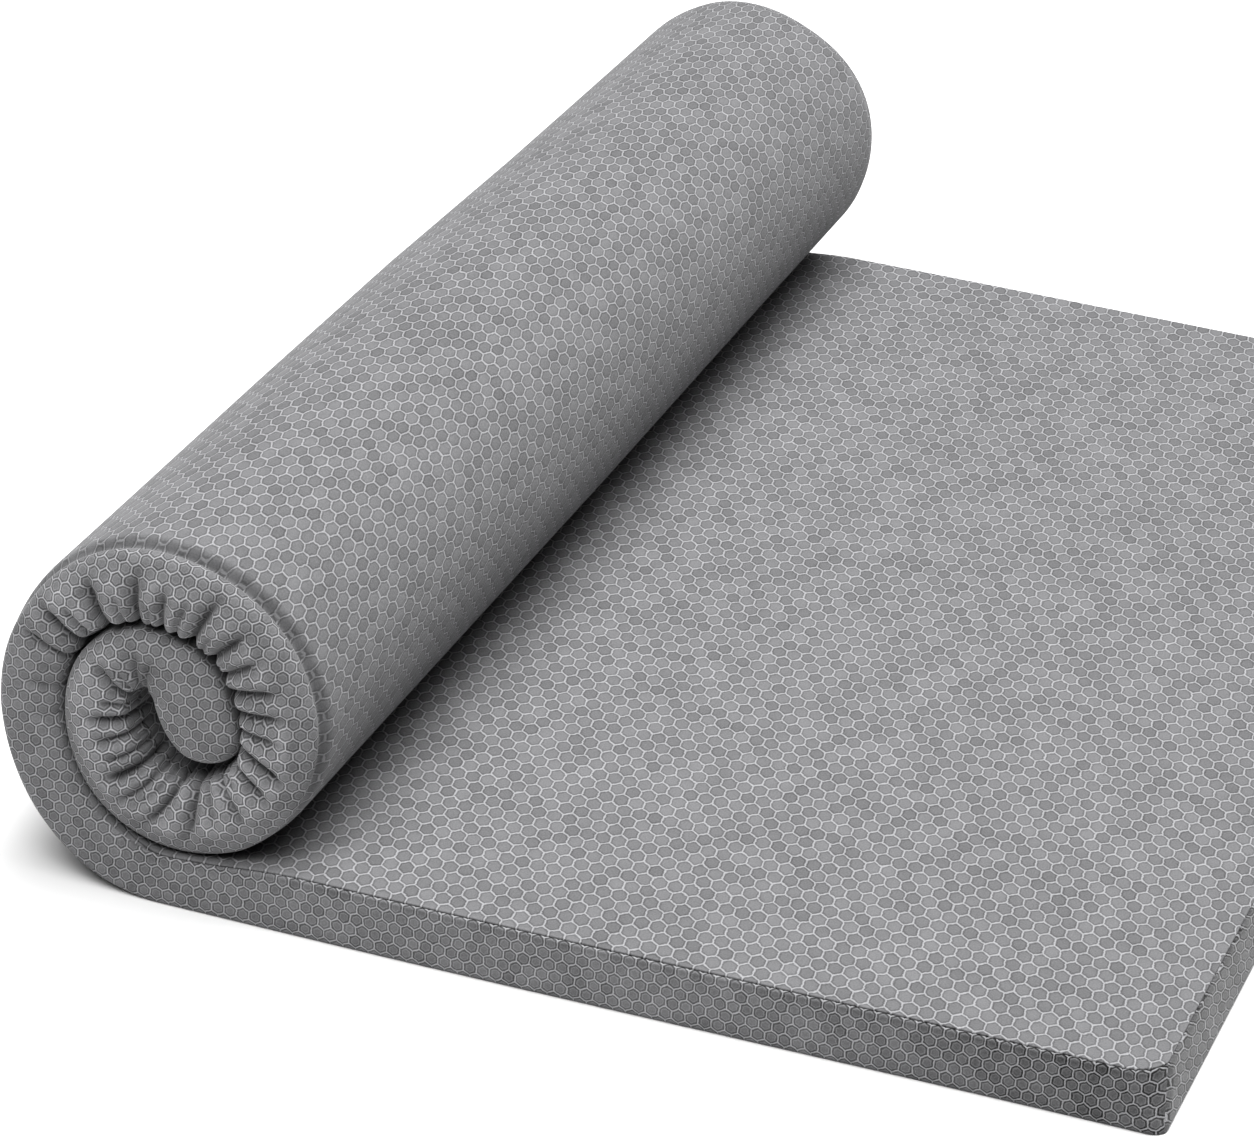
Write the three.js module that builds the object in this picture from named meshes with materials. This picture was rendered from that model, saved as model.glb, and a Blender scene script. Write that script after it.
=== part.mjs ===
// A foam mattress in a woven cover, half rolled up. Sizes in millimetres, +Z up.
//
// One strip of covered foam lies flat on the floor from its foot end, curls up
// off the floor and winds in over itself for nearly two turns, down to the
// rounded head end in the middle of the roll. The flat part runs along X, the
// roll's axis along Y. The whole strip is one closed solid: sections across the
// width are worked out one after the other along the strip and joined up.
//
// While it is built, X is measured from under the roll's centre towards the foot
// end and Y from the near side, and the finished solid is centred at the end.

import * as THREE from "three";

// Driving sizes
const WIDTH = 1350;
const FLAT_LENGTH = 793;
const FLAT_THICKNESS = 50;
const ROLL_CENTRE_HEIGHT = 162;

// The roll presses the flat part under it, which recovers over this length
const PRESSED_THICKNESS = 42;
const PRESSED_LENGTH = 115;

// The foot end: its corners as seen from above, rounder along the seam at the
// top than at the floor, and the rounding of its top and bottom edges
const FOOT_CORNER_TOP = 34;
const FOOT_CORNER_BOTTOM = 14;
const FOOT_EDGE = 6;

// The head end in the roll: its nose is half an ellipse, its corners are rounded
const HEAD_NOSE = 40;
const HEAD_CORNER = 22;
const HEAD_BLUNT = 0.2;

// How far each side bulges past half the width where the foam is rolled or
// pressed, and how far it draws in at the foot end
const ROLL_BULGE = 5;
const FOOT_DRAWN_IN = 4;

// The roll's middle line. turn: degrees wound on from the lowest point, up the
// left side and over. middle: distance from the roll's centre to the middle of
// the layer. thick: thickness of the layer, more where the foam bunches up.
const ROLL = [
  { turn: 0, middle: 141, thick: 42 },
  { turn: 20, middle: 139, thick: 46 },
  { turn: 40, middle: 133, thick: 48 },
  { turn: 60, middle: 125, thick: 49.5 },
  { turn: 80, middle: 119.5, thick: 51 },
  { turn: 100, middle: 116.5, thick: 54 },
  { turn: 120, middle: 113, thick: 57.5 },
  { turn: 140, middle: 110, thick: 62.5 },
  { turn: 160, middle: 105.5, thick: 67 },
  { turn: 180, middle: 99, thick: 69 },
  { turn: 200, middle: 94, thick: 69 },
  { turn: 220, middle: 91, thick: 70 },
  { turn: 240, middle: 88.5, thick: 71 },
  { turn: 260, middle: 88, thick: 70 },
  { turn: 280, middle: 89.5, thick: 67 },
  { turn: 300, middle: 91, thick: 64 },
  { turn: 320, middle: 90, thick: 65 },
  { turn: 340, middle: 88, thick: 65 },
  { turn: 360, middle: 86, thick: 63.5 },
  { turn: 380, middle: 81.5, thick: 63 },
  { turn: 400, middle: 74.5, thick: 62 },
  { turn: 420, middle: 67.5, thick: 59 },
  { turn: 440, middle: 63, thick: 56 },
  { turn: 460, middle: 59.5, thick: 54 },
  { turn: 480, middle: 55, thick: 53 },
  { turn: 500, middle: 48, thick: 53 },
  { turn: 516, middle: 40.5, thick: 55 },
  { turn: 531, middle: 33, thick: 59 },
  { turn: 551, middle: 26, thick: 62 },
  { turn: 570, middle: 21.5, thick: 63 },
  { turn: 630, middle: 19.5, thick: 63 },
  { turn: 655, middle: 29, thick: 61 },
  { turn: 675, middle: 53.5, thick: 60 },
];

// How the side of the strip is rounded, by turn. outer and inner: how deep in
// from the side the rounding starts on the face that is outside in the roll and
// on the one inside. square: the power of the rounding's superellipse, 2 for an
// ellipse and more for a squarer side. crease: depth of the soft seam crease
// that runs round the outer face beside the rounding.
const SIDES = [
  { turn: 0, outer: 7, inner: 6, square: 5, crease: 0 },
  { turn: 40, outer: 9, inner: 10, square: 3.6, crease: 0 },
  { turn: 80, outer: 12, inner: 18, square: 2.8, crease: 0 },
  { turn: 120, outer: 14, inner: 22, square: 2.5, crease: 2.5 },
  { turn: 200, outer: 15, inner: 22, square: 2.4, crease: 3.5 },
  { turn: 280, outer: 15, inner: 20, square: 2.4, crease: 2 },
  { turn: 330, outer: 14, inner: 24, square: 2.4, crease: 0 },
  { turn: 400, outer: 14, inner: 30, square: 2.3, crease: 0 },
  { turn: 480, outer: 14, inner: 28, square: 2.3, crease: 0 },
  { turn: 540, outer: 15, inner: 18, square: 2.4, crease: 0 },
  { turn: 675, outer: 14, inner: 14, square: 2.4, crease: 0 },
];

// Gathers of the cover, where its inside is crowded by the bend. turn: where it
// sits. reach: how far it runs from the inner face towards the outer one.
// depth: how deep it is folded in. half: half its width.
const GATHERS = [
  { turn: 93, reach: 20, depth: 2.5, half: 3.5 },
  { turn: 109, reach: 34, depth: 3.5, half: 3.5 },
  { turn: 122, reach: 32, depth: 6.5, half: 4.5 },
  { turn: 142, reach: 38, depth: 7.5, half: 4.5 },
  { turn: 153, reach: 24, depth: 4.5, half: 3.5 },
  { turn: 163, reach: 36, depth: 6, half: 4.5 },
  { turn: 174, reach: 28, depth: 3.5, half: 3.5 },
  { turn: 186, reach: 38, depth: 6, half: 4 },
  { turn: 197, reach: 40, depth: 6.5, half: 4 },
  { turn: 205, reach: 24, depth: 3.5, half: 3 },
  { turn: 214, reach: 38, depth: 7, half: 4 },
  { turn: 226, reach: 22, depth: 4.5, half: 3.5 },
  { turn: 243, reach: 34, depth: 6, half: 4.5 },
  { turn: 257, reach: 20, depth: 3, half: 3.5 },
  { turn: 286, reach: 38, depth: 5.5, half: 3.5 },
  { turn: 299, reach: 30, depth: 4, half: 3.5 },
  { turn: 320, reach: 42, depth: 4, half: 3.5 },
  { turn: 347, reach: 52, depth: 6, half: 4 },
  { turn: 362, reach: 50, depth: 6, half: 3.5 },
  { turn: 378, reach: 46, depth: 5, half: 3.5 },
  { turn: 393, reach: 44, depth: 7.5, half: 3.5 },
  { turn: 407, reach: 34, depth: 4.5, half: 3 },
  { turn: 423, reach: 34, depth: 5, half: 3 },
  { turn: 441, reach: 32, depth: 5.5, half: 3 },
  { turn: 456, reach: 26, depth: 4, half: 2.5 },
  { turn: 473, reach: 30, depth: 5.5, half: 3 },
];

// How far a gather still shows on the inner face behind the rounding
const GATHER_FADE = 16;

// The crease lies this far past the rounding, with this half width
const CREASE_OFFSET = 3;
const CREASE_HALF = 5;

// Sections across the strip stand at these distances from the foot end, then at
// these places along the flat part and, last, at these distances from the head end
const FOOT_STEPS = [0, 1.5, 4, 8, 14, 22, 35];
const FLAT_STEPS = [600, 430, 280, 200, 150, 115, 85, 58, 34, 14];
const HEAD_STEPS = [30, 20, 12, 6, 2.5, 0];

// In the roll they stand on each gather and on both its flanks, this many half
// widths out, and elsewhere this many degrees apart at least and at most
const GATHER_FLANK = 1.5;
const CLOSEST_TURN_STEP = 1.6;
const WIDEST_TURN_STEP = 9;

// Angles round the side from the outer face to the inner one, and the points
// that follow it on each face
const SIDE_ANGLES = [0, 14, 30, 50, 72, 92, 110, 130, 148, 165, 180];
const OUTER_POINTS = [18, 8, 3];
const INNER_POINTS = [10, 34];

const degrees = THREE.MathUtils.degToRad;

// Smooth rise from 0 to 1 as value goes from 0 to 1
function ease(value) {
  return THREE.MathUtils.smoothstep(value, 0, 1);
}

// A column of a table at a turn, in straight lines between its rows
function column(rows, name, turn) {
  const found = rows.findIndex((row) => row.turn >= turn);
  const after = found < 0 ? rows.length - 1 : Math.max(found, 1);
  const from = rows[after - 1];
  const to = rows[after];
  const share = THREE.MathUtils.clamp((turn - from.turn) / (to.turn - from.turn), 0, 1);
  return THREE.MathUtils.lerp(from[name], to[name], share);
}

// What a round edge of this radius takes off at a distance from the end
function roundedOff(radius, distance) {
  const inside = Math.max(radius - distance, 0);
  return radius - Math.sqrt(radius ** 2 - inside ** 2);
}

// The roll's middle line as a curve whose points are x, layer thickness and z
function rollCurve() {
  const knots = ROLL.map(({ turn, middle, thick }) => {
    const x = -middle * Math.sin(degrees(turn));
    const z = ROLL_CENTRE_HEIGHT - middle * Math.cos(degrees(turn));
    return new THREE.Vector3(x, thick, z);
  });
  return new THREE.CatmullRomCurve3(knots, false, "centripetal");
}

// Stations of the flat part, from the foot end to under the roll's centre
function flatStations() {
  const foot = FOOT_STEPS.map((step) => FLAT_LENGTH - step);
  return [...foot, ...FLAT_STEPS].map((x) => {
    const fromFoot = FLAT_LENGTH - x;
    const pressed = 1 - ease(x / PRESSED_LENGTH);
    const full = THREE.MathUtils.lerp(FLAT_THICKNESS, PRESSED_THICKNESS, pressed);
    const towardsFoot = ease((x - PRESSED_LENGTH) / (FLAT_LENGTH - PRESSED_LENGTH));
    return {
      turn: 0,
      middle: new THREE.Vector2(x, full / 2),
      inward: new THREE.Vector2(0, 1),
      thick: full - 2 * roundedOff(FOOT_EDGE, fromFoot),
      drawnIn: THREE.MathUtils.lerp(-ROLL_BULGE, FOOT_DRAWN_IN, towardsFoot),
      bottomCorner: roundedOff(FOOT_CORNER_BOTTOM, fromFoot),
      topCorner: roundedOff(FOOT_CORNER_TOP, fromFoot),
    };
  });
}

// Turns at which the roll gets a station: three to a gather, others as needed
function rollTurns() {
  const turns = ROLL.slice(0, -1).map((row) => row.turn);
  for (const { turn, half } of GATHERS) {
    const away = GATHER_FLANK * half;
    const flank = THREE.MathUtils.radToDeg(away / column(ROLL, "middle", turn));
    turns.push(turn - flank, turn, turn + flank);
  }
  turns.sort((a, b) => a - b);
  const onGather = new Set(GATHERS.map((gather) => gather.turn));
  const kept = turns.filter((turn, index) => {
    const crowded = turn - turns[index - 1] < CLOSEST_TURN_STEP;
    const toNext = turns[index + 1] - turn;
    const justBefore = onGather.has(turns[index + 1]) && toNext < CLOSEST_TURN_STEP;
    return onGather.has(turn) || !(crowded || justBefore);
  });
  const filled = kept.slice(1).map((turn, index) => {
    const before = kept[index];
    const count = Math.ceil((turn - before) / WIDEST_TURN_STEP);
    const step = (turn - before) / count;
    return Array.from({ length: count }, (_, place) => before + step * (place + 1));
  });
  return [kept[0], ...filled.flat()];
}

// A station of the roll at a place on its curve, 0 at the floor and 1 at the head
function rollStation(curve, place, turn, fromHead) {
  const point = curve.getPoint(place);
  const heading = curve.getTangent(place);
  const nose = Math.min(fromHead / HEAD_NOSE, 1);
  const roundness = Math.sqrt(1 - (1 - nose) ** 2);
  const corner = roundedOff(HEAD_CORNER, fromHead);
  return {
    turn,
    middle: new THREE.Vector2(point.x, point.z),
    inward: new THREE.Vector2(heading.z, -heading.x).normalize(),
    thick: point.y * THREE.MathUtils.lerp(HEAD_BLUNT, 1, roundness),
    drawnIn: -ROLL_BULGE,
    bottomCorner: corner,
    topCorner: corner,
  };
}

// Stations of the roll, from the floor to the head end in its middle
function rollStations() {
  const curve = rollCurve();
  const last = ROLL.length - 1;
  const headTurn = ROLL[last].turn;
  const headStart = ROLL[last - 2];
  const length = curve.points[last].distanceTo(curve.points[last - 1]);
  const stations = rollTurns().filter((turn) => turn <= headStart.turn).map((turn) => {
    const after = Math.max(1, ROLL.findIndex((row) => row.turn >= turn));
    const from = ROLL[after - 1];
    const share = (turn - from.turn) / (ROLL[after].turn - from.turn);
    return rollStation(curve, (after - 1 + share) / last, turn, Infinity);
  });
  for (const fromHead of HEAD_STEPS) {
    const place = (last - fromHead / length) / last;
    stations.push(rollStation(curve, place, headTurn, fromHead));
  }
  return stations;
}

// How deep the gathers fold in at a turn, a distance from the inner face and a
// depth behind the rounding on that face
function gatherDepth(turn, radius, fromInner, behind) {
  let deepest = 0;
  for (const gather of GATHERS) {
    const across = degrees(turn - gather.turn) * radius;
    const run = 1 - ease(fromInner / gather.reach);
    const fold = gather.depth * run * Math.exp(-((across / gather.half) ** 2));
    deepest = Math.max(deepest, fold * Math.exp(-behind / GATHER_FADE));
  }
  return deepest;
}

// The near side of one section, from the outer face round to the inner face.
// Each point has a distance in from the side and a height from the outer face
// (minus) to the inner face (plus).
function sideOutline(station) {
  const { turn, thick } = station;
  const outer = column(SIDES, "outer", turn);
  const inner = column(SIDES, "inner", turn);
  const power = 2 / column(SIDES, "square", turn);
  const crease = column(SIDES, "crease", turn);
  const radius = Math.max(column(ROLL, "middle", turn), 1);
  const rows = [
    ...OUTER_POINTS.map((past) => ({ angle: 0, past })),
    ...SIDE_ANGLES.map((angle) => ({ angle, past: 0 })),
    ...INNER_POINTS.map((past) => ({ angle: 180, past })),
  ];
  return rows.map(({ angle, past }) => {
    const cos = Math.cos(degrees(angle));
    const sin = Math.sin(degrees(angle));
    const depth = angle < 90 ? outer : inner;
    const rounding = depth * (1 - Math.max(sin, 0) ** power);
    const inset = rounding + past;
    const height = -(thick / 2) * Math.sign(cos) * Math.abs(cos) ** power;
    const fromCrease = (inset - outer - CREASE_OFFSET) / CREASE_HALF;
    const creased = angle < 90 ? crease * Math.exp(-(fromCrease ** 2)) : 0;
    const behind = angle === 180 ? past : 0;
    const folded = gatherDepth(turn, radius, thick / 2 - height, behind);
    const push = creased + folded;
    return new THREE.Vector2(inset + push * sin, height + push * cos);
  });
}

// One whole section as a closed loop: the near side, then the far side mirrored
function sectionLoop(station) {
  const outline = sideOutline(station);
  const place = (inset, height, far) => {
    const upwards = THREE.MathUtils.clamp(height / station.thick + 0.5, 0, 1);
    const corner = THREE.MathUtils.lerp(station.bottomCorner, station.topCorner, upwards);
    const y = inset + station.drawnIn + corner;
    const across = station.middle.clone().addScaledVector(station.inward, height);
    return new THREE.Vector3(across.x, far ? WIDTH - y : y, across.y);
  };
  const near = outline.map(({ x, y }) => place(x, y, false));
  const far = outline.map(({ x, y }) => place(x, y, true)).reverse();
  return [...near, ...far];
}

// The skin over all sections, with a ladder of quads closing each end
function strip(loops) {
  const size = loops[0].length;
  const positions = loops.flat().flatMap(({ x, y, z }) => [x, y, z]);
  const faces = [];
  const quad = (a, b, c, d) => faces.push(a, b, c, a, c, d);
  for (let row = 0; row < loops.length - 1; row += 1) {
    for (let point = 0; point < size; point += 1) {
      const next = (point + 1) % size;
      const here = row * size;
      quad(here + point, here + next, here + size + next, here + size + point);
    }
  }
  const end = (loops.length - 1) * size;
  for (let point = 0; point < size / 2 - 1; point += 1) {
    const across = size - 1 - point;
    quad(point, across, across - 1, point + 1);
    quad(end + point, end + point + 1, end + across - 1, end + across);
  }
  const geometry = new THREE.BufferGeometry();
  geometry.setAttribute("position", new THREE.Float32BufferAttribute(positions, 3));
  geometry.setIndex(faces);
  return geometry;
}

// The mattress, centred over the middle of its outline and standing on z = 0
function makeMattress() {
  const geometry = strip([...flatStations(), ...rollStations()].map(sectionLoop));
  geometry.computeBoundingBox();
  const centre = geometry.boundingBox.getCenter(new THREE.Vector3());
  geometry.translate(-centre.x, -centre.y, -geometry.boundingBox.min.z);
  geometry.computeVertexNormals();
  const cover = new THREE.MeshStandardMaterial({ color: 0x88898b, roughness: 0.92, metalness: 0 });
  const mesh = new THREE.Mesh(geometry, cover);
  mesh.name = "mattress";
  return mesh;
}

const part = new THREE.Group();
part.add(makeMattress());

export default part;
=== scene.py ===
# %% [markdown]
# # A foam mattress, half rolled up
#
# The real object is one slab of soft foam in a thin knitted cover. The foot end
# lies flat. The rest has been rolled up over itself for nearly two turns, so
# one of its long sides shows the whole story: a calm straight band along the
# flat part, and a spiral whose inner edge is crowded into gathers.
#
# This lesson builds that shape as one surface over a grid of two parameters,
# gives it the seam, the crease and the gathers as small moves along its own
# normals, and then knits the hexagon pattern in a node material.

import bpy
import numpy as np
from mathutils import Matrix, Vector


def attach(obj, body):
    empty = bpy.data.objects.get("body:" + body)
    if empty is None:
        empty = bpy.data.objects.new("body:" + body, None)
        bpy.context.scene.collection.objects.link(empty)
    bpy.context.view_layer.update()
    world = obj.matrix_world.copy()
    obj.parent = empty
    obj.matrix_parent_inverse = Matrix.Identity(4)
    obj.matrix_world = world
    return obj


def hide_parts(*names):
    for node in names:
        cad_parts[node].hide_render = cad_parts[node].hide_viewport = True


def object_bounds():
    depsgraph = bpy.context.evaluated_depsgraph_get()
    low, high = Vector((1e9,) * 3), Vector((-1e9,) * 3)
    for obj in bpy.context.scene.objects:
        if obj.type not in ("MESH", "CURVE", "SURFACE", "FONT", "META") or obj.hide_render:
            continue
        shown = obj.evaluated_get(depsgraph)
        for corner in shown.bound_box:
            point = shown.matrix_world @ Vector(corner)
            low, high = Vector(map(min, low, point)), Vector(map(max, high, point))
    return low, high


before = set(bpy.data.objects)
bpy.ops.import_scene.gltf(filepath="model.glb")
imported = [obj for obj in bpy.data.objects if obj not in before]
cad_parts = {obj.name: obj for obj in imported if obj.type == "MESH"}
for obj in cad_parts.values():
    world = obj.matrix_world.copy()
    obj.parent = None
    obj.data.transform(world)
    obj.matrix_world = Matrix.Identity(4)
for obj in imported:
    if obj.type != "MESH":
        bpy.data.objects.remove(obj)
cad_low, cad_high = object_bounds()
print("solid, lowest and highest corner:", tuple(cad_low), tuple(cad_high))

# %% [markdown]
# ## Where things are
#
# All sizes of the cloth are in millimetres here, because that is how a maker
# would measure them. A place along the strip is easiest to say from under the
# middle of the roll: `x` runs from there to the foot end, `y` runs over the
# width from the near side, and `z` is the height over the floor. One function
# turns such a point into the metres of the frame, and it takes the foot end and
# the middle of the width from the solid itself.

# %% From the mattress to the frame
MM = 0.001
WIDTH = 1350
FLAT_LENGTH = 793


def to_frame(points):
    """Millimetres from under the roll's centre, as metres in the frame: the x of
    the foot end and the middle of the width are those of the solid."""
    middle_y = (cad_low.y + cad_high.y) / 2
    origin = np.array([cad_high.x - FLAT_LENGTH * MM, middle_y - WIDTH / 2 * MM, 0])
    return points * MM + origin


print("under the roll's centre, in metres:", to_frame(np.zeros(3)).round(4))

# %% [markdown]
# ## Camera
#
# The photograph was taken from above the near side with a long lens. The place
# and the angles below come from fitting the straight edges of the mattress.

# %% Camera
CAMERA_PLACE = (1.07944, -3.73384, 1.96716)
CAMERA_ANGLES = (63.5916, -3.0918, 20.4018)
CAMERA_LENS = 144.26
SENSOR_WIDTH = 36
CLIP_END = 100

camera_data = bpy.data.cameras.new("camera")
camera_data.sensor_fit = "HORIZONTAL"
camera_data.sensor_width = SENSOR_WIDTH
camera_data.lens = CAMERA_LENS
camera_data.clip_end = CLIP_END
camera = bpy.data.objects.new("camera", camera_data)
camera.location = CAMERA_PLACE
camera.rotation_euler = np.radians(CAMERA_ANGLES)
bpy.context.scene.collection.objects.link(camera)
bpy.context.scene.camera = camera
print("camera at", CAMERA_PLACE)

# %% [markdown]
# ## The middle line of the strip
#
# Seen from the side, the mattress is a line with a thickness. In the flat part
# the line is straight. In the roll it is a spiral, but no mathematical one:
# foam bunches up where it is bent most, and the head end lies slack in the eye.
# So a short table says how far the line is from the roll's centre and how thick
# the layer is, for each number of degrees that the strip has turned. The turn
# is 0 straight under the centre, where the strip leaves the floor.

# %% Table of the roll
ROLL_CENTRE_HEIGHT = 162
ROLL = np.array(
    [
        (0, 141, 42),
        (20, 139, 46),
        (40, 133, 48),
        (60, 125, 49.5),
        (80, 119.5, 51),
        (100, 116.5, 54),
        (120, 113, 57.5),
        (140, 110, 62.5),
        (160, 105.5, 67),
        (180, 99, 69),
        (200, 94, 69),
        (220, 91, 70),
        (240, 88.5, 71),
        (260, 88, 70),
        (280, 89.5, 67),
        (300, 91, 64),
        (320, 90, 65),
        (340, 88, 65),
        (360, 86, 63.5),
        (380, 81.5, 63),
        (400, 74.5, 62),
        (420, 67.5, 59),
        (440, 63, 56),
        (460, 59.5, 54),
        (480, 55, 53),
        (500, 48, 53),
        (516, 40.5, 55),
        (531, 33, 59),
        (551, 26, 62),
        (570, 21.5, 63),
        (630, 19.5, 63),
        (655, 29, 61),
        (675, 53.5, 60),
    ],
    dtype=[("turn", float), ("middle", float), ("thick", float)],
)
print("turns of the roll:", round(ROLL["turn"][-1] / 360, 2))

# %% [markdown]
# Light shows every kink in a smooth cylinder, so straight lines or arcs between
# the points of the table would not do. A cubic spline bends evenly through all
# of them. A smooth step is the other curve that this lesson needs again and
# again, wherever one thing fades into another.

# %% Two curves


def spline(knots, values, start_slope, at):
    """Cubic spline: between two knots each value is the cubic whose second
    derivative runs straight from one knot's bend to the next one's. The bends
    solve the equations that make the slopes meet, with a given slope at the
    start and no bend at the end."""
    step = np.diff(knots)[:, None]
    slope = np.diff(values, axis=0) / step
    inner = np.arange(1, len(knots) - 1)
    matrix = np.eye(len(knots))
    matrix[0, :2] = 2 * step[0, 0], step[0, 0]
    matrix[inner, inner - 1] = step[:-1, 0]
    matrix[inner, inner] = 2 * (step[:-1, 0] + step[1:, 0])
    matrix[inner, inner + 1] = step[1:, 0]
    right = np.zeros_like(values)
    right[0] = 6 * (slope[0] - start_slope)
    right[1:-1] = 6 * np.diff(slope, axis=0)
    bend = np.linalg.solve(matrix, right)
    k = np.clip(np.searchsorted(knots, at) - 1, 0, len(knots) - 2)
    before, after, wide = (knots[k + 1] - at)[:, None], (at - knots[k])[:, None], step[k]
    cubic = (bend[k] * before**3 + bend[k + 1] * after**3) / (6 * wide)
    straight = (values[k] * before + values[k + 1] * after) / wide
    return cubic + straight - (bend[k] * before + bend[k + 1] * after) * wide / 6


def ease(value):
    """Smooth step: 3 t squared minus 2 t cubed, with t held between 0 and 1."""
    t = np.clip(value, 0, 1)
    return t * t * (3 - 2 * t)


print("smooth step, a quarter of the way:", ease(0.25))

# %% [markdown]
# The angles and distances of the table become points over the floor. The chords
# between them add up to the place of each point along the strip.

# %% Points of the middle line
turn_angle = np.radians(ROLL["turn"])
roll_points = np.stack(
    [
        -ROLL["middle"] * np.sin(turn_angle),
        ROLL_CENTRE_HEIGHT - ROLL["middle"] * np.cos(turn_angle),
        ROLL["thick"],
    ],
    axis=1,
)
chords = np.hypot(*np.diff(roll_points[:, :2], axis=0).T)
roll_knots = np.concatenate([[0], np.cumsum(chords)])
roll_length = roll_knots[-1]
print("middle line in the roll, mm:", roll_length.round())

# %% [markdown]
# ## Stations along the strip
#
# The surface is a stack of closed sections, one at each station. At both ends of
# the strip the sections get thinner as a rounded edge does, until they are
# nearly a line. A superellipse gives that edge, and its power makes the foot end
# nearly square, as cut foam is, and the head end round and blunt.

# %% Rounded ends
CLOSED = 0.02
FOOT_EDGE = 6
FOOT_SQUARE = 5
FOOT_STATIONS = 22
HEAD_NOSE = 40
NOSE_SQUARE = 2.2
NOSE_STATIONS = 20


def rounded_end(depth, square, count):
    """Distance from the end and share of the full thickness along a quarter of a
    superellipse: with an angle from nearly 0 to 90 degrees, the distance is
    depth times one minus its cosine to the power 2/square, and the share is its
    sine to that power."""
    power = 2 / square
    angle = np.linspace(np.arcsin(CLOSED ** (1 / power)), np.pi / 2, count)
    return depth * (1 - np.cos(angle) ** power), np.sin(angle) ** power


foot_far, foot_share = rounded_end(FOOT_EDGE, FOOT_SQUARE, FOOT_STATIONS)
head_far, head_share = rounded_end(HEAD_NOSE, NOSE_SQUARE, NOSE_STATIONS)
print("share of the thickness at the very ends:", foot_share[0].round(3), head_share[0].round(3))

# %% [markdown]
# Little happens in the flat part, so its stations stand far apart. They come
# closer behind the foot's edge, and where the roll presses the foam down.

# %% Stations of the flat part
FLAT_THICKNESS = 50
PRESSED_THICKNESS = 42
PRESSED_LENGTH = 115
BEHIND_EDGE = (1.5, 3.5, 6, 9, 13, 18, 24, 31, 40, 52)
EVEN_FROM = 68
EVEN_STEP = 16
PRESSED_STRETCHES = ((190, 80), (72, 6))
STRETCH_STATIONS = 14

even_to = FLAT_LENGTH - PRESSED_STRETCHES[0][0]
flat_far = FOOT_EDGE + np.concatenate([BEHIND_EDGE, np.arange(EVEN_FROM, even_to, EVEN_STEP)])
pressed_x = [np.linspace(*ends, STRETCH_STATIONS) for ends in PRESSED_STRETCHES]
flat_x = np.concatenate([FLAT_LENGTH - foot_far, FLAT_LENGTH - flat_far, *pressed_x])
pressed = (FLAT_THICKNESS - PRESSED_THICKNESS) * (1 - ease(flat_x / PRESSED_LENGTH))
full_flat = FLAT_THICKNESS - pressed
flat_count = len(flat_x)
print("stations in the flat part:", flat_count)

# %% [markdown]
# In the roll the stations follow the turn. To draw a fold takes one about every
# degree, all through the gathers. The smooth stretches at both ends of the
# spiral need far fewer. Each stretch of the list below has its first turn, its
# last one and its step.

# %% Stations of the roll
ROLL_STRETCHES = (
    (0, 72, 2.4),
    (72, 330, 0.84),
    (330, 486, 1.05),
    (486, 540, 1.5),
    (540, 655, 3.6),
)
START_SLOPE = np.array([-1.0, 0, 0])
TINY_STEP = 0.01

roll_turns = np.concatenate([np.arange(*stretch) for stretch in ROLL_STRETCHES])
roll_at = np.interp(roll_turns, ROLL["turn"], roll_knots)
before_nose = roll_at[roll_at < roll_length - HEAD_NOSE]
roll_at = np.concatenate([before_nose, roll_length - head_far[::-1]])
roll_place = spline(roll_knots, roll_points, START_SLOPE, roll_at)
nearby = spline(roll_knots, roll_points, START_SLOPE, roll_at + TINY_STEP)
heading = (nearby - roll_place)[:, :2]
heading /= np.linalg.norm(heading, axis=1)[:, None]
print("stations in the roll:", len(roll_at))

# %% [markdown]
# Both parts are joined into columns for the whole strip: the place on the middle
# line, the direction from the outer face to the inner one, the full thickness
# and the share of it that a rounded end leaves, the turn, and how far the
# station is from either end.

# %% The whole strip
middle_x = np.concatenate([flat_x, roll_place[:, 0]])
middle_z = np.concatenate([full_flat / 2, roll_place[:, 1]])
inward_x = np.concatenate([np.zeros(flat_count), heading[:, 1]])
inward_z = np.concatenate([np.ones(flat_count), -heading[:, 0]])
share = np.ones(len(middle_x))
share[: len(foot_share)] = foot_share
share[-len(head_share) :] = head_share[::-1]
full = np.concatenate([full_flat, roll_place[:, 2]])
thick = full * share
roll_turn = np.interp(roll_at, roll_knots, ROLL["turn"])
turn = np.concatenate([np.zeros(flat_count), roll_turn])
strip_steps = np.hypot(np.diff(middle_x), np.diff(middle_z))
along = np.concatenate([[0], np.cumsum(strip_steps)])
from_foot = FLAT_LENGTH - middle_x
from_foot[flat_count:] = np.inf
from_head = np.full(len(along), np.inf)
from_head[flat_count:] = roll_length - roll_at
print("stations:", len(along), "strip length, mm:", along[-1].round())

# %% [markdown]
# ## One section
#
# Across the width the slab is flat, and only its two sides are shaped. A side
# is half of a superellipse: the power decides whether it is squarer, as in the
# flat part, or rounder, as in the roll, where the bent foam pushes out. The
# table says by turn how deep in from the side the rounding starts on the outer
# face and on the inner one. Its last column is the depth of a soft crease: in
# the roll the cover's lower seam has been pulled round to the outer face and
# shows as a valley on the rounding.

# %% Table of the sides
SIDES = np.array(
    [
        (0, 7, 5, 5.0, 0),
        (40, 9, 10, 3.6, 0),
        (80, 12, 18, 2.8, 0),
        (120, 17, 22, 2.3, 5),
        (200, 24, 22, 2.1, 7),
        (280, 21, 20, 2.2, 5.5),
        (330, 14, 24, 2.4, 0),
        (400, 14, 30, 2.3, 0),
        (480, 14, 28, 2.3, 0),
        (540, 15, 18, 2.4, 0),
        (675, 14, 14, 2.4, 0),
    ],
    dtype=[(name, float) for name in ("turn", "outer", "inner", "square", "crease")],
)


def by_turn(name):
    """A column of the table of sides at each station, in straight lines between
    its rows."""
    return np.interp(turn, SIDES["turn"], SIDES[name])[:, None]


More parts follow.
